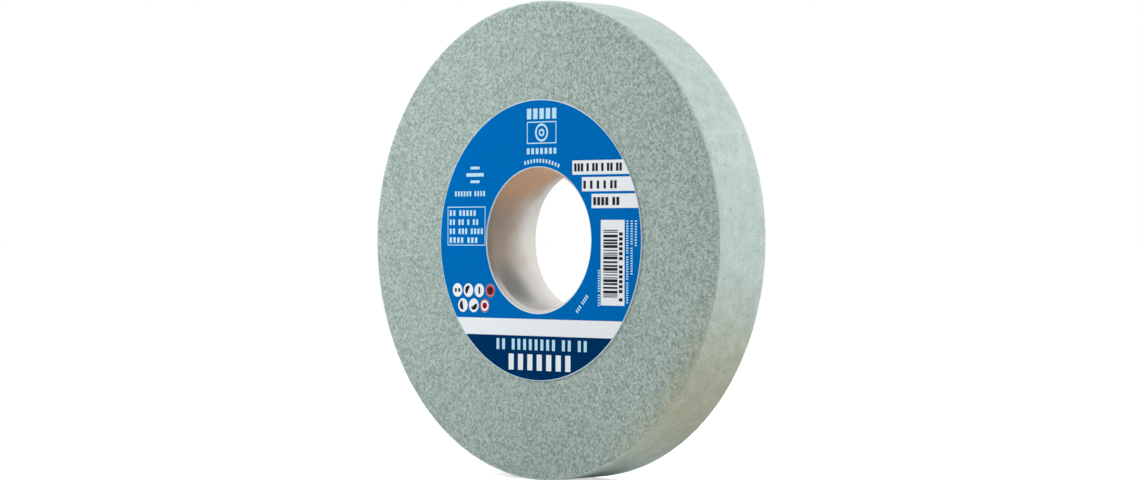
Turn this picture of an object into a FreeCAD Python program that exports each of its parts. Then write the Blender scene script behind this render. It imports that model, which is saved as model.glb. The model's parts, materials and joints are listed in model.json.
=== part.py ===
# A bench grinding wheel: a straight wheel of vitrified silicon carbide, with a smooth bush that lines
# its hole, and a paper blotter glued to each side. The front blotter is the printed label.
# Sizes are millimetres. The origin is the wheel's centre. Y is the wheel's axis, the printed side
# faces -Y, and +Z is up as the label is read.
import FreeCAD, Part
import math
import os

# Abrasive body
wheel_diameter = 175.0
wheel_width = 25.0
arris_radius = 0.6  # the two outer edges are broken with a dressing stone

# Bush, cast into the hole of the abrasive and bored to the spindle's size
bore_diameter = 51.0
bush_wall = 4.0
lead_in = 1.0  # 45 degree chamfer at each mouth of the bore

# Paper blotters, the soft washers that the clamping flanges press on
blotter_diameter = 102.8
blotter_setback = 0.15  # the paper's hole stands this far back from the edge of the lead-in
front_blotter_thickness = 0.45
rear_blotter_thickness = 0.5

# Printed layer of the front blotter. Paper without ink stays white.
ink_thickness = 0.05
bare_margin = 0.3  # unprinted line along both edges of the paper
hole_to_print = 2.15  # from the paper's hole to the level of the white band, and of the top tab
band_height = 6.2

# White tabs, which run in from the right edge
tab_count = 3
tab_height = 5.15
tab_gap = 0.9
tab_to_hole = 2.65  # from the lower inner corner of the top tab
tab_step = 4.8  # each tab starts this much further out than the one above it

# White panel, in the room between the hole, the rim, the tabs and the band
panel_to_hole = 4.85
panel_to_rim = 2.35  # from its lower right corner
panel_below_tabs = 4.2
panel_above_band = 5.55

# White discs, in an upper and a lower row that is set over by half a step. The upper row fills the
# room between the hole and the rim, which are measured to the centres of its two end discs.
disc_to_hole = 4.25
disc_to_rim = 5.4
disc_gap = 0.64  # between neighbours
disc_row_step = 5.6
disc_above_band = 4.5
upper_disc_count = 4
lower_disc_count = 3

# Sizes that follow
wheel_radius = wheel_diameter / 2
wheel_front = -wheel_width / 2
wheel_back = wheel_width / 2
bore_radius = bore_diameter / 2
bush_radius = bore_radius + bush_wall
blotter_radius = blotter_diameter / 2
blotter_hole_radius = bore_radius + lead_in + blotter_setback
paper_front = wheel_front - front_blotter_thickness
print_front = paper_front - ink_thickness
blotter_back = wheel_back + rear_blotter_thickness
print_level = blotter_hole_radius + hole_to_print
band_top = -print_level
band_bottom = band_top - band_height

origin = FreeCAD.Vector(0, 0, 0)
axis = FreeCAD.Vector(0, 1, 0)


def at(radius, y):
    """A point of a turned profile, at a radius from the axis and a place along it."""
    return FreeCAD.Vector(radius, y, 0)


def turn(edges):
    """Turns a closed profile once round the wheel's axis."""
    return Part.Face(Part.Wire(edges)).revolve(origin, axis, 360)


def polygon_edges(points):
    """The straight edges that join the points in a closed loop."""
    return Part.makePolygon(points + points[:1]).Edges


def flat_ring(outer_radius, inner_radius, front, back):
    """A washer on the wheel's axis."""
    return turn(polygon_edges([
        at(inner_radius, front),
        at(outer_radius, front),
        at(outer_radius, back),
        at(inner_radius, back),
    ]))


def half_chord(radius, height):
    """Half the width of a circle at a height from its centre, and none above its top."""
    return math.sqrt(max(radius**2 - height**2, 0.0))


def circles_of(solid, radius):
    """The circular edges of a solid that have this radius."""
    circles = [edge for edge in solid.Edges if isinstance(edge.Curve, Part.Circle)]
    return [edge for edge in circles if math.isclose(edge.Curve.Radius, radius)]


def abrasive_wheel():
    """The straight body, one solid with square faces and broken outer edges."""
    body = flat_ring(wheel_radius, bush_radius, wheel_front, wheel_back)
    return body.makeFillet(arris_radius, circles_of(body, wheel_radius))


def bore_bush():
    """The lining of the hole, flush with both sides of the wheel, with a lead-in at each mouth."""
    mouth_radius = bore_radius + lead_in
    return turn(polygon_edges([
        at(bush_radius, wheel_front),
        at(bush_radius, wheel_back),
        at(mouth_radius, wheel_back),
        at(bore_radius, wheel_back - lead_in),
        at(bore_radius, wheel_front + lead_in),
        at(mouth_radius, wheel_front),
    ]))


def front_blotter():
    """The paper of the label."""
    return flat_ring(blotter_radius, blotter_hole_radius, paper_front, wheel_front)


def rear_blotter():
    """The plain washer on the other side."""
    return flat_ring(blotter_radius, blotter_hole_radius, wheel_back, blotter_back)


def printable_ring():
    """A layer of ink over all of the label but its bare edges."""
    outer_radius = blotter_radius - bare_margin
    inner_radius = blotter_hole_radius + bare_margin
    return flat_ring(outer_radius, inner_radius, print_front, paper_front)


def print_block(left, right, bottom, top):
    """A rectangle of the label, as seen from the front, through the thickness of the ink."""
    corner = FreeCAD.Vector(left, print_front, bottom)
    return Part.makeBox(right - left, ink_thickness, top - bottom, corner)


def print_disc(radius, x, z):
    """One round spot of the label, through the thickness of the ink."""
    return Part.makeCylinder(radius, ink_thickness, FreeCAD.Vector(x, print_front, z), axis)


def tabs():
    """The white tabs at the upper right, from the top one down."""
    left = half_chord(blotter_hole_radius + tab_to_hole, print_level - tab_height)
    blocks = []
    for number in range(tab_count):
        top = print_level - number * (tab_height + tab_gap)
        blocks.append(print_block(left + number * tab_step, blotter_radius, top - tab_height, top))
    return blocks


def white_panel():
    """The white panel under the tabs, whose lower right corner keeps its distance from the rim."""
    lowest_tab = print_level - tab_count * tab_height - (tab_count - 1) * tab_gap
    top = lowest_tab - panel_below_tabs
    bottom = band_top + panel_above_band
    left = blotter_hole_radius + panel_to_hole
    right = half_chord(blotter_radius - panel_to_rim, bottom)
    return print_block(left, right, bottom, top)


def discs():
    """The white discs at the lower left."""
    lower_z = band_top + disc_above_band
    upper_z = lower_z + disc_row_step
    nearest_x = -half_chord(blotter_hole_radius + disc_to_hole, upper_z)
    furthest_x = -half_chord(blotter_radius - disc_to_rim, upper_z)
    step = (nearest_x - furthest_x) / (upper_disc_count - 1)
    to_nearest_neighbour = min(step, math.hypot(step / 2, disc_row_step))
    radius = (to_nearest_neighbour - disc_gap) / 2
    set_over_x = nearest_x - step / 2
    upper_places = [(nearest_x - number * step, upper_z) for number in range(upper_disc_count)]
    lower_places = [(set_over_x - number * step, lower_z) for number in range(lower_disc_count)]
    return [print_disc(radius, x, z) for x, z in upper_places + lower_places]


def blue_label_ink():
    """The blue field: all above the white band, with the tabs, the panel and the discs left white."""
    above_band = print_block(-blotter_radius, blotter_radius, band_top, blotter_radius)
    field = printable_ring().common(above_band)
    return field.cut(tabs() + [white_panel()] + discs())


def navy_label_ink():
    """The dark blue field under the white band."""
    below_band = print_block(-blotter_radius, blotter_radius, -blotter_radius, band_bottom)
    return printable_ring().common(below_band)


nodes = {
    "abrasive_wheel": abrasive_wheel,
    "bore_bush": bore_bush,
    "front_blotter": front_blotter,
    "rear_blotter": rear_blotter,
    "blue_label_ink": blue_label_ink,
    "navy_label_ink": navy_label_ink,
}

os.makedirs("parts", exist_ok=True)
for name, build in nodes.items():
    shape = build()
    shape.exportStep(f"parts/{name}.step")
    print(f"{name}: {len(shape.Solids)} solid, {shape.Volume:.1f} cubic mm")
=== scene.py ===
# %% [markdown]
# # A bench grinding wheel
#
# A bench grinding wheel is a stone that was pressed from grit and glassy bond and then fired. A smooth bush
# lines its hole, and a paper washer, called a blotter, is glued to each side. The front one is the label.
# The CAD model gives every size. This lesson dresses it: a body with crumbled edges, a turned bush, paper,
# ink that is laid on the paper as a printer does it, and materials made of nodes alone.

# %% Load the CAD frame
import json
import math
import bmesh
import bpy
from mathutils import Matrix, Vector, noise


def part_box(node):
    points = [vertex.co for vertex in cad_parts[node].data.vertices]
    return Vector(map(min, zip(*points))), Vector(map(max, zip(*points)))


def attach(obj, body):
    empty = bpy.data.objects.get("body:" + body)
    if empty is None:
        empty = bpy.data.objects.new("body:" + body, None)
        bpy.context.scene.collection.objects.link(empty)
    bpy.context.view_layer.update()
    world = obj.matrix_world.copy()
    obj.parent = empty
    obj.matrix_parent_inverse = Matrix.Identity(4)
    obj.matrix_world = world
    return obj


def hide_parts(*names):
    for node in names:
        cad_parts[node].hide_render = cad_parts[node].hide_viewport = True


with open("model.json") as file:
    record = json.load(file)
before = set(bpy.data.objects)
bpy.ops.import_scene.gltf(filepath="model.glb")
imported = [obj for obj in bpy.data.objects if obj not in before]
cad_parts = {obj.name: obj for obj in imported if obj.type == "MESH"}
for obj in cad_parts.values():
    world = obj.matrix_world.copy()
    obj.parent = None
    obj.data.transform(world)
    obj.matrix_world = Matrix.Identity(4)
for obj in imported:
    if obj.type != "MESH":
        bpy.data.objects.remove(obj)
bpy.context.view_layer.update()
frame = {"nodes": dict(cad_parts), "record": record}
mm = 0.001
print("CAD nodes:", sorted(frame["nodes"]))

# %% [markdown]
# ## Sizes
#
# A dressed piece has to sit where its solid sits. So the sizes are read from the solids' boxes, and from
# the bore that the record states. Only a few, such as the place of a tab on the label, are stated again.
# Everything is in millimetres here, as on a drawing, and is scaled to metres when a mesh is made.

# %% Read the wheel's sizes
def reach(node):
    """A solid's radius, its front and its back, in millimetres."""
    low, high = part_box(node)
    return high.z / mm, low.y / mm, high.y / mm


mounts = {mount["name"]: mount for mount in frame["record"]["mounts"]}
stated_bore = mounts["spindle_bore"]["dims"]
wheel_radius, wheel_front, wheel_back = reach("abrasive_wheel")
bush_radius = reach("bore_bush")[0]
blotter_radius, paper_front, _ = reach("front_blotter")
ink_front = reach("blue_label_ink")[1]
rear_paper_back = reach("rear_blotter")[2]
bore_radius = stated_bore["r_mm"]
lead_in = (wheel_back - wheel_front - stated_bore["length_mm"]) / 2
blotter_setback = 0.15
blotter_hole_radius = bore_radius + lead_in + blotter_setback
arris_radius = 0.6
print(f"wheel {2 * wheel_radius:.1f} x {wheel_back - wheel_front:.1f} x {2 * bore_radius:.1f} mm")
print(f"lead-in {lead_in:.2f} mm, paper's hole {2 * blotter_hole_radius:.1f} mm across")

# %% [markdown]
# ## Turning a profile
#
# The body, the bush and the paper are all bodies of revolution. They could be a Screw modifier on a curve,
# but the body's edges have to crumble later, point by point. So the rings are written out: one function
# takes a closed profile of (radius, y) points and joins each ring of vertices to the next.

# %% Turn a closed profile into a mesh
sharp_angle = math.radians(30)


def turned_piece(name, profile, segments, shift=None):
    """A closed ring turned round the Y axis. shift may move a point, given its angle, radius and y."""
    vertices = []
    for radius, y in profile:
        for number in range(segments):
            angle = 2 * math.pi * number / segments
            out, along = shift(angle, radius, y) if shift else (radius, y)
            vertices.append((out * math.cos(angle) * mm, along * mm, out * math.sin(angle) * mm))
    faces = []
    for ring in range(len(profile)):
        here = ring * segments
        following = (ring + 1) % len(profile) * segments
        for number in range(segments):
            after = (number + 1) % segments
            faces.append((here + number, here + after, following + after, following + number))
    mesh = bpy.data.meshes.new(name)
    mesh.from_pydata(vertices, [], faces)
    piece = bpy.data.objects.new(name, mesh)
    bpy.context.scene.collection.objects.link(piece)
    mesh.shade_smooth()
    mesh.set_sharp_from_angle(angle=sharp_angle)
    print(f"{name}: {2 * len(faces)} triangles")
    return piece


def seat(piece, node):
    """Puts a piece in place of a solid, and hides the solid."""
    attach(piece, "root")
    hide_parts(node)


# %% [markdown]
# ## Crumbled edges
#
# A dressing stone breaks the two outer edges of a new wheel. Because the body is grit, the break isn't a
# clean radius: grains have fallen out of it. Grains on the flat sides can be bump, but on an edge they show
# in the outline, so here noise pushes the points near an edge inward. They never go outward, so the wheel
# keeps its size.

# %% Let grains fall from the outer edges
crumble_depth = 0.22
crumble_reach = 1.8  # from the edge to where the stone is whole
grain_size = 0.9
finer_grains = 2.3  # how many of the finer grains go in one


def crumble(angle, radius, y):
    """Moves a point near an outer edge inward, more where a grain is missing."""
    nearest_face = wheel_front if y < 0 else wheel_back
    to_edge = math.hypot(wheel_radius - radius, nearest_face - y)
    fade = max(0.0, 1 - to_edge / crumble_reach)
    if fade == 0:
        return radius, y
    spot = Vector((radius * math.cos(angle), y, radius * math.sin(angle))) / grain_size
    missing = 0.5 + 0.5 * noise.noise(spot) + 0.35 * noise.noise(spot * finer_grains)
    depth = crumble_depth * fade * min(max(missing, 0.0), 1.0)
    firm_radius = wheel_radius - 3 * arris_radius
    firm_y = 0.86 * nearest_face
    inward = Vector((firm_radius - radius, firm_y - y)).normalized()
    return radius + depth * inward.x, y + depth * inward.y


# %% [markdown]
# ## The abrasive body
#
# The body is pressed and fired as one piece, and then trued. Its sides and tread are flat, so they need few
# rings of points. Near the outer edges the rings lie closer and closer, down to less than a grain, and
# round the wheel the points are as close. A coarser mesh would show flats in the outline, and a finer one
# would show nothing more.

# %% Make the body
body_segments = 1440
arris_steps = 4
side_rings = [bush_radius, 45.0, blotter_radius - 1.0, blotter_radius + 4.0, 68.0, 80.0]
side_insets = (4.0, 2.6, 1.9, 1.3, 0.9)
tread_insets = (0.3, 0.8, 1.5, 2.8, 6.0)


def rounded_arris(centre, start_degrees):
    """A quarter circle of the profile, from an angle that is counted from +radius to +y."""
    angles = [math.radians(start_degrees + 90 * step / arris_steps) for step in range(arris_steps + 1)]
    radius, y = centre
    return [(radius + arris_radius * math.cos(a), y + arris_radius * math.sin(a)) for a in angles]


def body_profile():
    """The section of the body, with rings that close up towards the two outer edges."""
    flat_radii = side_rings + [wheel_radius - inset for inset in side_insets]
    front_side = [(radius, wheel_front) for radius in flat_radii]
    back_side = [(radius, wheel_back) for radius in reversed(flat_radii)]
    centre_radius = wheel_radius - arris_radius
    front_arris = rounded_arris((centre_radius, wheel_front + arris_radius), -90)
    back_arris = rounded_arris((centre_radius, wheel_back - arris_radius), 0)
    half_tread = wheel_back - arris_radius
    tread_places = [-half_tread + inset for inset in tread_insets]
    tread_places += [0.0] + [-place for place in reversed(tread_places)]
    tread = [(wheel_radius, y) for y in tread_places]
    return front_side + front_arris + tread + back_arris + back_side


body = turned_piece("abrasive_body", body_profile(), body_segments, crumble)
seat(body, "abrasive_wheel")

# %% [markdown]
# ## The bush
#
# The lining is cast in the hole and bored true. A boring tool leaves fine rings and a crisp lead-in at each
# mouth. A bevel modifier could break the corners, but two or three points of the profile do it as well and
# say how much. The tool's rings are too fine for geometry, and go in the material.

# %% Make the bush
bush_segments = 256
bush_softness = 0.12  # how far the lead-in's corners are broken


def bush_profile():
    """The section of the lining, with the lead-in's corners just broken."""
    mouth_radius = bore_radius + lead_in
    soft = bush_softness
    front_half = [
        (mouth_radius + 2 * soft, wheel_front),
        (mouth_radius, wheel_front + 0.3 * soft),
        (mouth_radius - soft, wheel_front + 1.3 * soft),
        (bore_radius + soft, wheel_front + lead_in - soft),
        (bore_radius + 0.1 * soft, wheel_front + lead_in + 0.3 * soft),
        (bore_radius, wheel_front + lead_in + 2 * soft),
    ]
    back_half = [(radius, -y) for radius, y in reversed(front_half)]
    return [(bush_radius, wheel_back), (bush_radius, wheel_front)] + front_half + back_half


bush = turned_piece("turned_bush", bush_profile(), bush_segments)
seat(bush, "bore_bush")

# %% [markdown]
# ## The blotters
#
# A blotter is soft card, stamped out. The punch rolls its upper edge over a little and leaves the lower one
# square. A flat ring with a thickness would have two square edges, so the roll is drawn in the section: a
# few points are enough to catch the light along the rim.

# %% Make the two blotters
paper_segments = 360
paper_roll = 0.12


def blotter_profile(glued_y, open_y):
    """A washer's section from the side that is glued to the side that shows."""
    outward = 1 if open_y > glued_y else -1
    roll = paper_roll
    return [
        (blotter_hole_radius, glued_y),
        (blotter_radius, glued_y),
        (blotter_radius, open_y - outward * roll),
        (blotter_radius - 0.3 * roll, open_y - outward * 0.3 * roll),
        (blotter_radius - roll, open_y),
        (blotter_radius - 4 * roll, open_y),
        (blotter_hole_radius + 4 * roll, open_y),
        (blotter_hole_radius + roll, open_y),
        (blotter_hole_radius + 0.3 * roll, open_y - outward * 0.3 * roll),
        (blotter_hole_radius, open_y - outward * roll),
    ]


front_section = blotter_profile(wheel_front, paper_front)
rear_section = blotter_profile(wheel_back, rear_paper_back)
front_paper = turned_piece("front_paper", front_section, paper_segments)
rear_paper = turned_piece("rear_paper", rear_section[::-1], paper_segments)
seat(front_paper, "front_blotter")
seat(rear_paper, "rear_blotter")

# %% [markdown]
# ## Printing
#
# White on a label isn't printed: it is paper that the ink leaves out. The ink is made the same way here.
# Each ink is one flat curve, whose closed outlines fill between an outer line and the lines inside it, so a
# hole in the blue is a place where the paper shows. Filled curves need no booleans, and stay crisp from
# close by. The filled curve is then turned into a mesh, because a curve object's box is wider than what it
# draws.

# %% Draw outlines on the label
def disc(x, z, radius, steps=64):
    """A round outline."""
    angles = [2 * math.pi * step / steps for step in range(steps)]
    return [(x + radius * math.cos(a), z + radius * math.sin(a)) for a in angles]


def block(left, right, bottom, top):
    """A rectangular outline."""
    return [(left, bottom), (right, bottom), (right, top), (left, top)]


def outlined_block(left, right, bottom, top, line):
    """A rectangle with a smaller one in it, a line's width apart, so that only the line is filled."""
    return [
        block(left, right, bottom, top),
        block(left + line, right - line, bottom + line, top - line),
    ]


def arc(radius, start, end, steps):
    """Points along a circle round the label's centre, from one angle to another."""
    angles = [start + (end - start) * step / steps for step in range(steps + 1)]
    return [(radius * math.cos(a), radius * math.sin(a)) for a in angles]


def turned_outline(outline, centre, degrees):
    """An outline turned about a point of the label."""
    turn = Matrix.Rotation(math.radians(degrees), 2)
    middle = Vector(centre)
    return [tuple(middle + turn @ (Vector(point) - middle)) for point in outline]


# %% [markdown]
# The ink lies on the paper as a layer of its own, as thick as its solid. A curve fills in its own XY plane,
# so the mesh is stood up to face the front, and its points are joined where the plate's faces meet.

# %% Lay flat ink on the paper
weld_distance = 0.001


def filled_mesh(name, outlines, thickness):
    """A plate in the XY plane: closed outlines filled between, and given a thickness."""
    curve = bpy.data.curves.new(name, "CURVE")
    curve.dimensions = "2D"
    curve.fill_mode = "BOTH"
    curve.extrude = thickness / 2 * mm
    for outline in outlines:
        spline = curve.splines.new("POLY")
        spline.points.add(len(outline) - 1)
        for point, (x, y) in zip(spline.points, outline):
            point.co = (x * mm, y * mm, 0, 1)
        spline.use_cyclic_u = True
    drawn = bpy.data.objects.new(name, curve)
    mesh = bpy.data.meshes.new_from_object(drawn)
    bpy.data.objects.remove(drawn)
    return mesh


def printed(name, outlines, node=None):
    """One ink, as thick as the ink's solid and facing the front."""
    mesh = filled_mesh(name, outlines, paper_front - ink_front)
    to_paper = Matrix.Translation((0, (paper_front + ink_front) / 2 * mm, 0))
    mesh.transform(to_paper @ Matrix.Rotation(math.radians(90), 4, "X"))
    shell = bmesh.new()
    shell.from_mesh(mesh)
    bmesh.ops.remove_doubles(shell, verts=shell.verts, dist=weld_distance * mm)
    bmesh.ops.recalc_face_normals(shell, faces=shell.faces)
    shell.to_mesh(mesh)
    shell.free()
    ink = bpy.data.objects.new(name, mesh)
    bpy.context.scene.collection.objects.link(ink)
    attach(ink, "root")
    if node:
        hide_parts(node)
    print(f"{name}: {len(outlines)} outlines, {len(mesh.polygons)} faces")
    return ink


# %% [markdown]
# A line of small upright blocks reads as a line of print from a step away. One function sets such a line:
# it takes the lengths of the words, and works out the width of a block from the room that the line has.
# The share of bare gap between the blocks sets how grey the line looks, as the weight of its letters would.

# %% Set a line of blocks
word_space = 0.7  # as a share of the step from one block to the next


def word_line(left, right, bottom, height, words, gap_share=0.4):
    """Blocks in place of letters: words is the number of letters in each word."""
    columns = sum(words) + word_space * (len(words) - 1) - gap_share
    pitch = (right - left) / columns
    blocks = []
    start = left
    for letters in words:
        for _ in range(letters):
            blocks.append(block(start, start + pitch * (1 - gap_share), bottom, bottom + height))
            start += pitch
        start += word_space * pitch
    return blocks


# %% [markdown]
# ## The blue field
#
# The blue fills the label above the white band. Three white tabs cut into it from the right rim, and each
# starts further out than the one above. A tab is open at the rim, so it can't be a hole in the blue: the
# outline walks once round the field instead, tabs and all.

# %% Work out the label's main lines
bare_margin = 0.3
hole_to_print = 2.15
tab_count = 3
tab_height = 5.15
tab_gap = 0.9
tab_to_hole = 2.65
tab_step = 4.8
tab_rim_steps = 12
field_rim_steps = 160

ink_radius = blotter_radius - bare_margin
ink_hole_radius = blotter_hole_radius + bare_margin
print_level = blotter_hole_radius + hole_to_print
band_top = -print_level
band_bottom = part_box("navy_label_ink")[1].z / mm


def half_chord(radius, height):
    """Half the width of a circle at a height."""
    return math.sqrt(radius**2 - height**2)


tab_tops = [print_level - number * (tab_height + tab_gap) for number in range(tab_count)]
first_tab_left = half_chord(blotter_hole_radius + tab_to_hole, tab_tops[0] - tab_height)
tab_lefts = [first_tab_left + number * tab_step for number in range(tab_count)]
print(f"band {band_bottom:.2f} to {band_top:.2f} mm, tabs from {first_tab_left:.1f} mm")


def blue_outline():
    """The walk round the blue field, from the band's right end up past the tabs and over to the left."""
    walk = []
    angle = math.asin(band_top / ink_radius)
    for top, left in reversed(list(zip(tab_tops, tab_lefts))):
        bottom = top - tab_height
        walk += arc(ink_radius, angle, math.asin(bottom / ink_radius), tab_rim_steps)
        walk += [(left, bottom), (left, top)]
        angle = math.asin(top / ink_radius)
    left_end = math.pi - math.asin(band_top / ink_radius)
    return walk + arc(ink_radius, angle, left_end, field_rim_steps)


# %% [markdown]
# ## Panel and spots
#
# Under the tabs is a white panel, and at the lower left are seven white spots in two rows. Their places
# could be typed in, but on the real label they fill the room between the hole, the rim and the band. So
# they are worked out from those, as the CAD model does it.

# %% Place the panel and the spots
panel_to_hole = 4.85
panel_to_rim = 2.35
panel_below_tabs = 4.2
panel_above_band = 5.55
spot_to_hole = 4.25
spot_to_rim = 5.4
spot_gap = 0.64
spot_row_step = 5.6
spot_above_band = 4.5
upper_spots = 4
lower_spots = 3

panel_left = blotter_hole_radius + panel_to_hole
panel_bottom = band_top + panel_above_band
panel_right = half_chord(blotter_radius - panel_to_rim, panel_bottom)
panel_top = tab_tops[-1] - tab_height - panel_below_tabs

spot_lower_z = band_top + spot_above_band
spot_upper_z = spot_lower_z + spot_row_step
spot_near_x = -half_chord(blotter_hole_radius + spot_to_hole, spot_upper_z)
spot_far_x = -half_chord(blotter_radius - spot_to_rim, spot_upper_z)
spot_step = (spot_near_x - spot_far_x) / (upper_spots - 1)
spot_radius = (spot_step - spot_gap) / 2
spots = [(spot_near_x - number * spot_step, spot_upper_z) for number in range(upper_spots)]
spots += [(spot_near_x - (number + 0.5) * spot_step, spot_lower_z) for number in range(lower_spots)]
print(f"panel {panel_left:.1f} to {panel_right:.1f} mm, {len(spots)} spots of radius {spot_radius:.2f} mm")

# %% [markdown]
# ## Box and drawing
#
# At the left of the label is a thin outlined box with four lines in it. At the top is a plain drawing of a
# wheel in a frame, between two lines of blocks. Rings inside rings fill by turns, so the drawing is four
# circles and no more.

# %% Draw the box and the framed wheel
def info_box():
    """A thin outlined box with four lines, from the top one down."""
    left, right, bottom, top = -47.4, -27.25, -2.05, 12.45
    row_inset, row_height = 1.1, 2.1
    rows = [
        (9.0, -32.4, (2, 5)),
        (5.6, -31.1, (2, 2, 1, 2)),
        (2.2, -28.6, (2, 3, 4)),
        (-1.1, -31.5, (4, 3)),
    ]
    shapes = outlined_block(left, right, bottom, top, line=0.32)
    for row_bottom, row_right, words in rows:
        shapes += word_line(left + row_inset, row_right, row_bottom, row_height, words)
    return shapes


def framed_wheel():
    """A plain drawing of a wheel in a frame, with a line above it and a line below."""
    left, right, bottom, top = -5.7, 9.3, 35.2, 43.3
    drawn_radii = (3.3, 2.5, 1.4, 0.7)
    x, z = (left + right) / 2, (bottom + top) / 2
    shapes = outlined_block(left, right, bottom, top, line=0.4)
    shapes += [disc(x, z, radius) for radius in drawn_radii]
    shapes += word_line(left, right, bottom=44.2, height=3.9, words=(5,), gap_share=0.32)
    return shapes + word_line(left, right, bottom=31.4, height=2.2, words=(7,))


# %% [markdown]
# ## Small lines and marks
#
# The finest print follows the hole, runs up beside the panel and slants under the hole. Each line is set
# level first, and is then turned: block by block round the hole, or as a whole.

# %% Draw the small lines and marks
def curved_line():
    """A short line of small blocks that follows the hole."""
    radius, letters, step = 28.9, 12, math.radians(3.1)
    middle = math.radians(86)
    half_width, below, above = 0.42, 0.6, 0.8
    shapes = []
    for number in range(letters):
        angle = middle + (number - (letters - 1) / 2) * step
        x, z = radius * math.cos(angle), radius * math.sin(angle)
        upright = block(x - half_width, x + half_width, z - below, z + above)
        shapes.append(turned_outline(upright, (x, z), math.degrees(angle) - 90))
    return shapes


def side_lines():
    """The tiny lines that run up beside the panel, given by their place, their ends and their words."""
    runs = [
        (44.5, -22.3, 7.1, (9, 10, 14)),
        (46.6, -12.0, 7.1, (11, 10)),
        (48.6, -2.0, 7.1, (10,)),
        (30.7, -23.5, -10.6, (5, 9)),
    ]
    shapes = []
    for x, low_end, high_end, words in runs:
        for upright in word_line(low_end, high_end, bottom=-0.5, height=1.0, words=words, gap_share=0.48):
            shapes.append([(x - z, along) for along, z in upright])
    return shapes


def slanting_line():
    """A short line that slants under the hole, at the right."""
    centre_x, centre_z, slant_degrees = 22.4, -22.9, 48
    shapes = []
    for upright in word_line(-4.0, 4.0, bottom=-0.7, height=1.4, words=(3, 4)):
        slanted = turned_outline(upright, (0, 0), slant_degrees)
        shapes.append([(x + centre_x, z + centre_z) for x, z in slanted])
    return shapes


def left_marks():
    """Three short bars and a line, at the upper left."""
    bars = [
        block(-35.2, -30.4, 26.3, 27.3),
        block(-37.4, -28.2, 23.6, 24.9),
        block(-35.2, -30.4, 21.2, 22.2),
    ]
    return bars + word_line(-43.5, -27.5, bottom=16.3, height=1.9, words=(6, 4), gap_share=0.42)


# %% [markdown]
# ## Blue and navy
#
# A press lays one ink after another, and the plate of an ink has the white marks as gaps. So each ink is
# one piece here, with its marks as holes in it. White shapes on top of the blue would be simpler, but the
# real white lies lower than the ink. Under the band the label is navy, with a narrow line and a bold one.

# %% Print the blue and the navy
hole_steps = 240
navy_rim_steps = 120

white_in_blue = [disc(x, z, spot_radius) for x, z in spots]
white_in_blue += [block(panel_left, panel_right, panel_bottom, panel_top)]
narrow_in_blue = info_box() + framed_wheel() + curved_line()
narrow_in_blue += side_lines() + slanting_line() + left_marks()
blue_field = [blue_outline(), disc(0, 0, ink_hole_radius, hole_steps)]
blue_shapes = blue_field + white_in_blue + narrow_in_blue
blue_print = printed("blue_print", blue_shapes, "blue_label_ink")

rim_dip = math.asin(band_bottom / ink_radius)
navy_field = [arc(ink_radius, math.pi - rim_dip, 2 * math.pi + rim_dip, navy_rim_steps)]
narrow_in_navy = word_line(-21.2, 24.8, bottom=-40.2, height=4.0, words=(2, 8, 2, 2), gap_share=0.5)
bold_in_navy = word_line(-14.9, 16.7, bottom=-47.6, height=5.9, words=(7,), gap_share=0.44)
navy_shapes = navy_field + narrow_in_navy + bold_in_navy
navy_print = printed("navy_print", navy_shapes, "navy_label_ink")

# %% [markdown]
# ## Pale tint
#
# A mark that is about a millimetre wide doesn't stay white. Ink creeps in from both sides, and tints it a
# pale blue. The same goes for the bare line along the paper's two edges. A blur in the material would need
# a picture of the print, so the narrow marks are simply filled again, with a pale tint.

# %% Tint the narrow marks
outer_line = [
    disc(0, 0, blotter_radius - bare_margin / 2, hole_steps),
    disc(0, 0, ink_radius, hole_steps),
]
inner_line = [
    disc(0, 0, ink_hole_radius, hole_steps),
    disc(0, 0, blotter_hole_radius + bare_margin / 2, hole_steps),
]
pale_shapes = outer_line + inner_line + narrow_in_blue + narrow_in_navy
pale_print = printed("pale_print", pale_shapes)

# %% [markdown]
# ## Black on the tabs and the panel
#
# Black goes on bare paper. The tabs carry a line each. The panel carries stripes, with a row of marks
# beside them. The stripes' widths follow a simple rule, so that they look mixed but encode nothing.

# %% Draw the stripes and the tabs' lines
stripe_count = 22
stripes_below_top = 3.6
stripes_above_bottom = 2.95
stripes_left_inset = 1.35
stripes_right_inset = 3.45
marks_right_inset = 2.7


def stripes():
    """Thin and thick stripes down the panel, and a row of marks at their ends."""
    dark = [1 + number * number % 7 // 2 for number in range(stripe_count)]
    bare = [1 + number * 3 % 4 // 2 for number in range(stripe_count - 1)] + [0]
    top, bottom = panel_top - stripes_below_top, panel_bottom + stripes_above_bottom
    left, right = panel_left + stripes_left_inset, panel_right - stripes_right_inset
    unit = (top - bottom) / sum(dark + bare)
    level = top
    shapes = []
    for width, gap in zip(dark, bare):
        shapes.append(block(left, right, level - width * unit, level))
        level -= (width + gap) * unit
    words = (1, 6, 6)
    marks = word_line(bottom - 1.4, top - 0.9, bottom=0, height=1.7, words=words, gap_share=0.35)
    for mark in marks:
        shapes.append([(panel_right - marks_right_inset + z, along) for along, z in mark])
    return shapes


def tab_lines():
    """The lines on the three tabs, from the top one down."""
    height = 2.9
    first_top, second_top, third_top = tab_tops
    first, second, third = tab_lefts
    lines = word_line(first + 1.0, 41.7, first_top - 4.0, height, words=(3, 1, 2, 1, 2, 2), gap_share=0.3)
    lines += word_line(second + 0.8, 39.2, second_top - 4.2, height, words=(1, 1, 1, 1, 2))
    return lines + word_line(third + 0.9, 40.5, third_top - 4.1, height, words=(4, 2), gap_share=0.32)


# %% [markdown]
# ## Black and red in the spots
#
# Each spot holds a simple figure, made of bars or half a disc. The first spot of each row is red: outlines
# inside outlines give a red ring, or a ring with a dot in it. The record lists two inks, blue and navy. A
# colour that isn't among them takes the slot of one that is, because it has the same matt finish.

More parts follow.
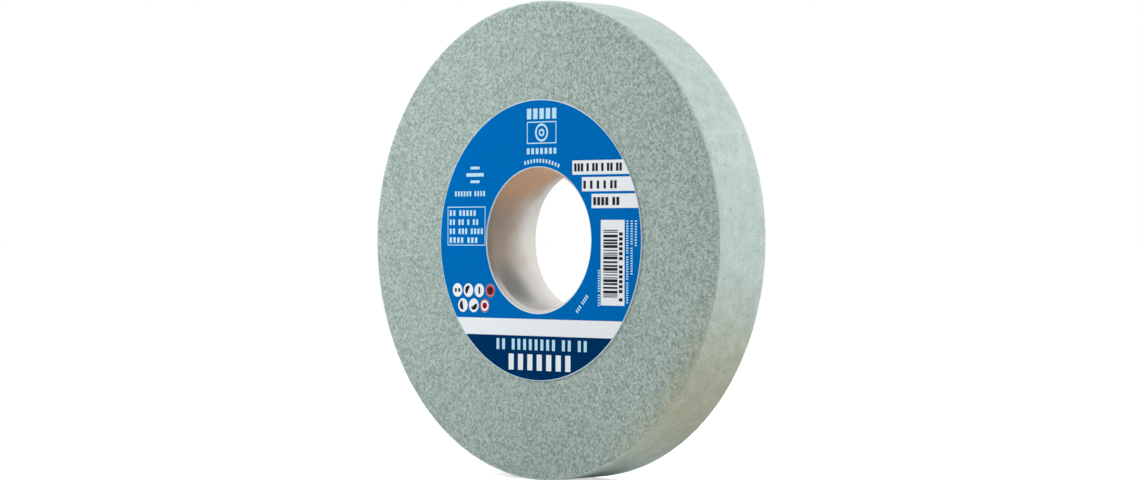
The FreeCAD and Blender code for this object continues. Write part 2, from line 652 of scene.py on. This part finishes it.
# %% Draw the spots' figures and print
figure_radius = 1.7


def half_disc(spot, start_degrees):
    """A half disc in the middle of a spot."""
    start = math.radians(start_degrees)
    return [(spot[0] + x, spot[1] + z) for x, z in arc(figure_radius, start, start + math.pi, 16)]


def upright_bar(spot, aside, width, height):
    """An upright bar in a spot, to one side of its middle."""
    x, z = spot[0] + aside, spot[1]
    return block(x - width / 2, x + width / 2, z - height / 2, z + height / 2)


def spot_figures():
    """A simple figure for each white spot, and the dark middle of the first red one."""
    first, second, third, fourth, _, sixth, seventh = spots
    bars = [
        upright_bar(second, aside=0, width=0.9, height=2.6),
        upright_bar(fourth, aside=-0.9, width=1.0, height=1.3),
        upright_bar(fourth, aside=0.9, width=1.0, height=1.3),
    ]
    halves = [half_disc(third, 60), half_disc(sixth, -150), half_disc(seventh, 100)]
    dark_middle = disc(first[0], first[1], 1.1, 32)
    return bars + halves + [dark_middle]


def red_figures():
    """The red of the first spot of each row, as circles at these distances from the spot's edge."""
    two_rings = (0.1, 0.5, 0.7, 1.45)
    ring_and_dot = (0.1, 0.5, 1.4)
    shapes = []
    for spot, insets in ((spots[0], two_rings), (spots[upper_spots], ring_and_dot)):
        shapes += [disc(spot[0], spot[1], spot_radius - inset, 32) for inset in insets]
    return shapes


black_print = printed("black_print", stripes() + tab_lines() + spot_figures())
red_print = printed("red_print", red_figures())

# %% [markdown]
# ## Shader maths as Python
#
# A material made of nodes gets long when each sum is typed as a node and two links. So a small class wraps
# a socket and overloads the operators: adding two of them adds a Math node, or a Vector Math node where one
# is a colour or a vector.

# %% A class for sockets
class Wire:
    """A shader socket that sums and products work on."""

    def __init__(self, paint, socket):
        self.paint = paint
        self.socket = socket

    def work(self, operation, first, second):
        """Adds the node for one sum, the wide kind where either side has three parts."""
        wide = has_three_parts(first) or has_three_parts(second)
        kind = "ShaderNodeVectorMath" if wide else "ShaderNodeMath"
        return self.paint.node(kind, {"operation": operation}, {0: first, 1: second})

    def __add__(self, other):
        return self.work("ADD", self, other)

    def __radd__(self, other):
        return self.work("ADD", other, self)

    def __sub__(self, other):
        return self.work("SUBTRACT", self, other)

    def __rsub__(self, other):
        return self.work("SUBTRACT", other, self)

    def __mul__(self, other):
        return self.work("MULTIPLY", self, other)

    def __rmul__(self, other):
        return self.work("MULTIPLY", other, self)

    def __pow__(self, other):
        return self.work("POWER", self, other)

    def __rpow__(self, other):
        return self.work("POWER", other, self)


def has_three_parts(value):
    """Whether a value is a colour or a vector, and not a single number."""
    if isinstance(value, Wire):
        return value.socket.type in ("VECTOR", "RGBA")
    return isinstance(value, tuple)


# %% [markdown]
# Every other node comes from one method, which takes the node's type, its settings and the values or links
# of its sockets. A material and the world share this class, which also tells the rays that see the backdrop
# from those that light the object.

# %% A class for nodes
class Nodes:
    """The nodes of a material or of the world, built by calls that each add one node."""

    def __init__(self, tree):
        self.tree = tree

    def node(self, kind, settings=None, values=None, output=0):
        """Adds a node: its settings come first, then the values or links of its sockets."""
        made = self.tree.nodes.new(kind)
        for setting, value in (settings or {}).items():
            setattr(made, setting, value)
        self.fill(made, values or {})
        return Wire(self, made.outputs[output])

    def fill(self, made, values):
        """Sets a node's sockets: a Wire is linked, and anything else is a value."""
        for name, value in values.items():
            socket = made.inputs[name]
            if isinstance(value, Wire):
                self.tree.links.new(value.socket, socket)
                continue
            if socket.type in ("VECTOR", "RGBA") and not isinstance(value, tuple):
                value = (value, value, value)
            if socket.type == "RGBA":
                value = (*value, 1.0)
            socket.default_value = value

    def split(self, place):
        """The three numbers of a place."""
        outputs = self.node("ShaderNodeSeparateXYZ", None, {0: place}).socket.node.outputs
        return [Wire(self, output) for output in outputs]

    def larger(self, first, second):
        """The larger of two numbers."""
        return self.node("ShaderNodeMath", {"operation": "MAXIMUM"}, {0: first, 1: second})

    def backdrop_rays(self):
        """1 for rays from the camera, and those that a mirror or glass sends on, and 0 for the rest."""
        rays = self.node("ShaderNodeLightPath").socket.node.outputs
        seen = Wire(self, rays["Is Camera Ray"])
        for kind in ("Is Glossy Ray", "Is Transmission Ray"):
            seen = self.larger(seen, Wire(self, rays[kind]))
        return seen


# %% [markdown]
# The patterns of a material take their sizes in millimetres. They all start from the place of a point on the
# object, and not from an unwrapped picture, so they have no seam and stay on the wheel from any side.

# %% A class for materials
class Material(Nodes):
    """A material whose shader is a Principled BSDF."""

    def __init__(self, name):
        self.result = bpy.data.materials.new(name)
        self.result.use_nodes = True
        super().__init__(self.result.node_tree)

    def place(self):
        """Where a point is on the object, in millimetres."""
        return self.node("ShaderNodeTexCoord", output="Object") * (1 / mm)

    def distance(self, place, spot):
        """How far a place is from a spot."""
        settings = {"operation": "DISTANCE"}
        return self.node("ShaderNodeVectorMath", settings, {0: place, 1: spot}, "Value")

    def noise(self, place, size, detail=2.0, roughness=0.5):
        """Cloudy values round 0.5, whose blobs are about this many millimetres."""
        values = {"Vector": place, "Scale": 1 / size, "Detail": detail, "Roughness": roughness}
        return self.node("ShaderNodeTexNoise", None, values)

    def grains(self, place, size):
        """One random value for each grain of about this size."""
        cell = self.node("ShaderNodeTexVoronoi", None, {"Vector": place, "Scale": 1 / size}, "Color")
        return self.node("ShaderNodeSeparateColor", None, {0: cell})

    def step(self, value, low, high):
        """A smooth step from 0 at low to 1 at high."""
        settings = {"interpolation_type": "SMOOTHSTEP"}
        values = {"Value": value, "From Min": low, "From Max": high}
        return self.node("ShaderNodeMapRange", settings, values)

    def mix(self, share, first, second):
        """A blend of two colours."""
        values = {0: share, 6: first, 7: second}
        return self.node("ShaderNodeMix", {"data_type": "RGBA"}, values, 2)

    def bump(self, height, depth, strength):
        """A normal from a height of 0 to 1 that stands for this many millimetres."""
        values = {"Height": height, "Distance": depth * mm, "Strength": strength}
        return self.node("ShaderNodeBump", None, values)

    def finish(self, **values):
        """Sets the shader's own sockets, and gives the finished material."""
        shader = self.tree.nodes["Principled BSDF"]
        self.fill(shader, {name.replace("_", " "): value for name, value in values.items()})
        print(f"{self.result.name}: {len(self.tree.nodes)} nodes")
        return self.result


def colour(red, green, blue):
    """A colour as a screen shows it, 0 to 255, as the linear values that a shader takes."""
    def linear(value):
        value /= 255
        return value / 12.92 if value <= 0.04045 else ((value + 0.055) / 1.055) ** 2.4
    return linear(red), linear(green), linear(blue)


# %% [markdown]
# ## Where the stone is smooth, and where it is olive
#
# The sides of a wheel keep the open grain of the press. The tread was trued, so it is paler and smoother.
# An olive tint lies low on the right. Both could be painted by hand, but a mask that is worked out from the
# place of a point can be moved by changing one value, and the grains make its edge ragged.

# %% Masks of the tread and the olive tint
olive_centre = (67.0, -2.0, -57.0)
olive_reach = 54.0
olive_core = 8.0


def tread_mask(paint, from_axis, speck):
    """1 on the tread and 0 on the sides."""
    ragged = from_axis + (speck - 0.5) * 0.8
    return paint.step(ragged, wheel_radius - 1.1, wheel_radius - 0.1)


def olive_tint_mask(paint, place, from_axis, speck, patch, cloud):
    """1 in the middle of the olive tint, fading away from it and towards the label."""
    outward = from_axis + (patch - 0.5) * 12 + (speck - 0.5) * 10
    apart = paint.distance(place, olive_centre) + (cloud - 0.5) * 16 + (patch - 0.5) * 16
    return paint.step(apart, olive_reach, olive_core) * paint.step(outward, 73.0, 90.0)


# %% [markdown]
# ## Fired grit
#
# Close by, green silicon carbide is a mix of pale and slate grains in a pale bond, with crystals that flash
# and pits where a grain is gone. Here the flash of the crystals is a painted glint, and the dark of the pits
# is painted shade. A photograph of a stone could be wrapped round the wheel, but it would stretch and
# repeat.
# Random cells of grain size give each grain its own shade, finer cells and noise break them up, and slow
# noise clouds the whole.

# %% Colours of the sides and the tread
chip_size = 0.35
speck_size = 0.76
crystal_size = 0.5
pore_size = 1.4
patch_size = 5.0
cloud_size = 22.0


def side_skin(paint, place, shade):
    """The open grain of the press, with painted glints on its crystals and painted shade in its pits."""
    glint_noise = paint.noise(place, crystal_size, 1.0)
    # painted glints: the crystals are painted brighter
    painted_glints = paint.step(glint_noise, 0.6, 0.74)
    # painted shade: the pits are painted darker
    painted_pit_shade = paint.step(glint_noise, 0.4, 0.26)
    grit = paint.mix(shade, colour(121, 143, 137), colour(180, 193, 186))
    return grit * (1.0 + painted_glints * 0.5 - painted_pit_shade * 0.42)


def tread_skin(paint, shade):
    """The same grit, ground flat."""
    return paint.mix(shade, colour(159, 180, 174), colour(205, 217, 211))


def olive_tint(paint, patch):
    """The olive tint, a little browner in some patches."""
    return paint.mix(paint.step(patch, 0.42, 0.6), colour(244, 228, 203), colour(243, 230, 210))


# %% [markdown]
# The layers now go together. The grain's contrast is lower where the stone is smooth, and a little lower
# towards the left, as on the real wheel. Where the stone is smooth, its pores are painted darker, as shade
# in the holes. The two outer edges are painted paler, as a highlight. The olive tint multiplies what is
# under it, and the grains' own heights make the bump.

# %% The abrasive's material
def abrasive_material():
    """Grit on the sides and the tread, with clouds, painted shade in pores, a painted highlight on the outer
    edges and the olive tint.
    """
    paint = Material("fired_grit")
    place = paint.place()
    x, y, z = paint.split(place)
    from_axis = (x * x + z * z) ** 0.5
    from_middle = (y * y) ** 0.5
    grain = paint.grains(place, grain_size)
    chip = paint.grains(place, chip_size)
    speck = paint.noise(place, speck_size)
    patch = paint.noise(place, patch_size, 3.0)
    cloud = paint.noise(place, cloud_size, 3.0)

    tread = tread_mask(paint, from_axis, speck)
    olive = olive_tint_mask(paint, place, from_axis, speck, patch, cloud)
    smooth = tread + (0.72 - tread) * (olive * 0.55)

    contrast = 1.08 - smooth * 0.82 - paint.step(x, 30.0, -60.0) * 0.18
    height = (grain - 0.5) * 0.34 + (chip - 0.5) * 0.08 + (speck - 0.5) * 0.76
    height = height * contrast + (patch - 0.5) * (0.1 + smooth * 0.32)
    shade = paint.step(height, -0.34, 0.34)
    # painted shade: the pores are painted darker where the stone is smooth
    painted_pore_shade = paint.step(paint.noise(place, pore_size, 3.0), 0.6, 0.7) * smooth * 0.22
    grit = paint.mix(smooth, side_skin(paint, place, shade), tread_skin(paint, shade))
    # painted highlight: the two outer edges are painted paler
    near_rim = paint.step(from_axis, wheel_radius - 0.9, wheel_radius - 0.4)
    edge_highlight = near_rim * paint.step(from_middle, wheel_back - 0.9, wheel_back - 0.5)
    skin = grit * (0.96 + cloud * 0.1 - painted_pore_shade) * (1.0 + edge_highlight * 0.14)
    tinted = paint.mix(olive, skin, skin * olive_tint(paint, patch))
    normal = paint.bump(grain * 0.6 + chip * 0.3 + speck * 0.6, 0.3, 0.5)
    return paint.finish(Base_Color=tinted, Roughness=0.9, Specular_IOR_Level=0.3, Normal=normal)


body.data.materials.append(abrasive_material())

# %% [markdown]
# ## Painted shade in the bore
#
# The bush is a cream casting, and shade is painted into its colour. It is tan all along the top, partly the
# casting's own tint and partly painted shade, taupe at the front, and dark grey low at the front. Only the
# bottom of the front lead-in is left pale. Each of these is a soft step along the bore or down it, and slow
# noise makes its border wander.

# %% Colours of the bush
# where the dark painted shade sits, low at the front of the bore
shade_centre = Vector((-19.0, -6.5, -16.5))
shade_shape = Vector((1.0, 1.35, 1.0))  # above 1 where the patch of painted shade is shorter
shade_reach = 14.0
shade_core = 3.0


def shaded_bush_skin(paint, y, z, wander, cloud):
    """Cream at the back, and painted shade at the front that turns to tan along the top."""
    cream = paint.mix(cloud, colour(220, 219, 217), colour(206, 205, 201))
    at_top = paint.step(z + wander - paint.step(y, 3.0, 12.0) * 10, 7.0, 21.0)
    low = paint.step(z + wander, -6.0, -20.0)
    # painted shade: taupe towards the front, grey low down
    shade_tone = paint.mix(low, colour(157, 145, 132), colour(165, 165, 163))
    # tan along the top, partly the casting's own tint and partly painted shade
    shade_tone = paint.mix(at_top, shade_tone, colour(199, 161, 130))
    at_front = paint.step(wander - y, -10.5, 6.5)
    shaded_share = at_front + at_top - at_front * at_top
    return paint.mix(shaded_share, cream, shade_tone)


def low_front_shade(paint, place, wander):
    """1 in the middle of the dark painted shade, low at the front."""
    apart = paint.distance(place * tuple(shade_shape), tuple(shade_centre * shade_shape))
    return paint.step(apart + wander * 0.5, shade_reach, shade_core)


def pale_mouth(paint, y, z, wander):
    """1 on the front lead-in's lower half."""
    return paint.step(y + wander * 0.1, -10.8, -11.6) * paint.step(z, -10.0, -19.0)


# %% [markdown]
# The boring tool left fine rings. They are noise that is stretched round the bore: it changes fast along the
# axis, and hardly at all round it. A finer noise gives the mottle of the casting. Both are faint, because
# strong ones would make the bush look like brushed metal.

# %% The bush's material
ring_stretch = (0.02, 1.0, 0.02)
ring_size = 0.5
mottle_size = 0.9
bush_cloud_size = 9.0


def bush_material():
    """A casting with painted shade and faint rings from the boring tool."""
    paint = Material("cast_bush")
    place = paint.place()
    _, y, z = paint.split(place)
    rings = paint.noise(place * ring_stretch, ring_size, 3.0)
    mottle = paint.noise(place, mottle_size, 4.0, 0.6)
    cloud = paint.noise(place, bush_cloud_size)
    wander = (cloud - 0.5) * 8

    skin = shaded_bush_skin(paint, y, z, wander, cloud)
    # painted shade: dark grey low at the front of the bore
    skin = paint.mix(low_front_shade(paint, place, wander) * 0.8, skin, colour(108, 112, 109))
    bare = paint.mix(cloud, colour(207, 207, 203), colour(184, 178, 168))
    # the lower half of the front lead-in is left without painted shade
    skin = paint.mix(pale_mouth(paint, y, z, wander), skin, bare)
    skin = skin * (0.94 + rings * 0.08 + mottle * 0.1)
    normal = paint.bump(rings * 0.5 + mottle * 0.5, 0.05, 0.3)
    return paint.finish(Base_Color=skin, Roughness=0.7, Specular_IOR_Level=0.25, Normal=normal)


bush.data.materials.append(bush_material())

# %% [markdown]
# ## Paper and ink
#
# Paper is white with a fine tooth of fibres, which lie more one way than the other. Ink fills the tooth, so
# it is smoother, and it isn't quite even. Both are matt. A coat or more gloss would show the white studio in
# the blue, and the blue has to stay deep.

# %% The materials of the paper and the inks
fibre_size = 0.5
fibre_stretch = (1.0, 1.0, 0.35)
paper_cloud_size = 12.0
ink_cloud_size = 10.0


def scaled(tint, factor):
    """A colour that is darker or paler by a factor."""
    return tuple(factor * part for part in tint)


def paper_material(name, tint):
    """Soft card of one tint."""
    paint = Material(name)
    place = paint.place()
    fibres = paint.noise(place * fibre_stretch, fibre_size, 4.0, 0.65)
    cloud = paint.noise(place, paper_cloud_size)
    skin = paint.mix(fibres, tint, scaled(tint, 0.92)) * (0.98 + cloud * 0.04)
    tooth = paint.bump(fibres, 0.05, 0.3)
    return paint.finish(Base_Color=skin, Roughness=0.85, Specular_IOR_Level=0.2, Normal=tooth)


def ink_material(name, tint):
    """Matt ink of one tint."""
    paint = Material(name)
    place = paint.place()
    fibres = paint.noise(place, fibre_size, 4.0, 0.65)
    cloud = paint.noise(place, ink_cloud_size)
    share = paint.step(fibres, 0.25, 0.75)
    skin = paint.mix(share, tint, scaled(tint, 1.08)) * (0.96 + cloud * 0.08)
    roughness = 0.55 + fibres * 0.15
    tooth = paint.bump(fibres, 0.02, 0.3)
    return paint.finish(Base_Color=skin, Roughness=roughness, Specular_IOR_Level=0.0, Normal=tooth)


front_paper.data.materials.append(paper_material("label_paper", colour(231, 236, 239)))
rear_paper.data.materials.append(paper_material("blotter_paper", colour(196, 190, 176)))
blue_print.data.materials.append(ink_material("matt_blue_ink", colour(0, 100, 174)))
navy_print.data.materials.append(ink_material("matt_navy_ink", colour(0, 47, 92)))
pale_print.data.materials.append(ink_material("matt_pale_tint", colour(178, 214, 229)))
black_print.data.materials.append(ink_material("matt_black_ink", colour(44, 42, 50)))
red_print.data.materials.append(ink_material("matt_red_ink", colour(150, 16, 44)))

# %% [markdown]
# ## Lamps
#
# A catalogue picture is lit softly from all round. A large lamp near the upper left gives the side of the
# wheel its slow fall of light. A second one stands behind, at the upper right: it lights the tread, and it
# reaches into the bore from the back, so that the far edge of the bush is bright and the near edge is dim.
# A sun lamp would be simpler, but its light doesn't fall off with distance.

# %% Hang the lamps
def area_light(name, place, size, watts):
    """A soft square lamp that faces the wheel, with its place and size in metres."""
    light = bpy.data.lights.new(name, "AREA")
    light.size = size
    light.energy = watts
    lamp = bpy.data.objects.new(name, light)
    lamp.location = place
    lamp.rotation_euler = Vector(place).to_track_quat("Z", "Y").to_euler()
    lamp.visible_camera = False
    bpy.context.scene.collection.objects.link(lamp)
    print(f"{name} lamp: {watts} W, {Vector(place).length:.2f} m from the wheel")


area_light("key", place=(-0.37, -0.38, 0.34), size=0.4, watts=3.85)
area_light("back", place=(0.53, 0.39, 0.45), size=0.5, watts=3.9)

# %% [markdown]
# ## World and floor
#
# A white studio also sends soft light back from its walls. Here that light is strongest from behind the
# wheel and fades to none in front, so the lamps still shape the stone. The white that the camera sees is
# set apart from it by the kind of ray, so it adds no light. The floor is done the same way: it is a pale
# grey that takes the wheel's shadow, and it glows for the camera alone, so that it looks white.

# %% Build the world and the floor
floor_half_width = 20.0  # metres


def studio_world(front_strength, back_strength):
    """White for the camera, and soft light that is stronger from behind the wheel."""
    world = bpy.data.worlds.new("studio")
    bpy.context.scene.world = world
    world.use_nodes = True
    sky = Nodes(world.node_tree)
    _, toward_back, _ = sky.split(sky.node("ShaderNodeTexCoord", output="Generated"))
    limits = {"From Min": -1.0, "To Min": front_strength, "To Max": back_strength}
    ambient = sky.node("ShaderNodeMapRange", None, {"Value": toward_back, **limits})
    strength = sky.larger(ambient, sky.backdrop_rays())
    background = world.node_tree.nodes["Background"]
    sky.fill(background, {"Color": (1.0, 1.0, 1.0), "Strength": strength})
    print(f"world: a strength of {front_strength} in front and {back_strength} behind")


def studio_floor(grey, glow):
    """A wide pale floor that the wheel stands on."""
    half = floor_half_width
    level = -wheel_radius * mm
    corners = [(-half, -half, level), (half, -half, level), (half, half, level), (-half, half, level)]
    mesh = bpy.data.meshes.new("floor")
    mesh.from_pydata(corners, [], [(0, 1, 2, 3)])
    floor = bpy.data.objects.new("floor", mesh)
    bpy.context.scene.collection.objects.link(floor)
    paint = Material("white_floor")
    glow_colour = paint.mix(paint.backdrop_rays(), (0.0, 0.0, 0.0), (glow, glow, glow))
    white_floor = paint.finish(
        Base_Color=(grey, grey, grey),
        Roughness=1.0,
        Emission_Color=glow_colour,
        Emission_Strength=1.0,
    )
    mesh.materials.append(white_floor)


studio_world(front_strength=0.0, back_strength=1.05)
studio_floor(grey=0.68, glow=0.6)

# %% [markdown]
# ## Camera
#
# The camera stands level with the axis and about 44 degrees round to the right. Its distance and lens come
# from fitting circles to the rims in the photograph. A matrix of its three directions places it, because a
# constraint that tracks the wheel couldn't hold the slight roll.

# %% Set the camera
azimuth = math.radians(43.81)
roll = math.radians(0.16)
distance = 1.1129  # metres
aside = 0.0035
above = 0.0001
lens = 95.19
sensor_width = 36

back = Vector((math.sin(azimuth), -math.cos(azimuth), 0))
level_right = Vector((math.cos(azimuth), math.sin(azimuth), 0))
right = math.cos(roll) * level_right + math.sin(roll) * Vector((0, 0, 1))
up = back.cross(right)
camera = bpy.data.objects.new("camera", bpy.data.cameras.new("camera"))
camera.data.lens = lens
camera.data.sensor_width = sensor_width
facing = Matrix((right, up, back)).transposed().to_4x4()
camera.matrix_world = Matrix.Translation(back * distance + right * aside + up * above) @ facing
bpy.context.scene.collection.objects.link(camera)
bpy.context.scene.camera = camera
bpy.context.scene.view_settings.view_transform = "Standard"
print(f"camera {camera.matrix_world.translation.length:.3f} m from the wheel's centre")
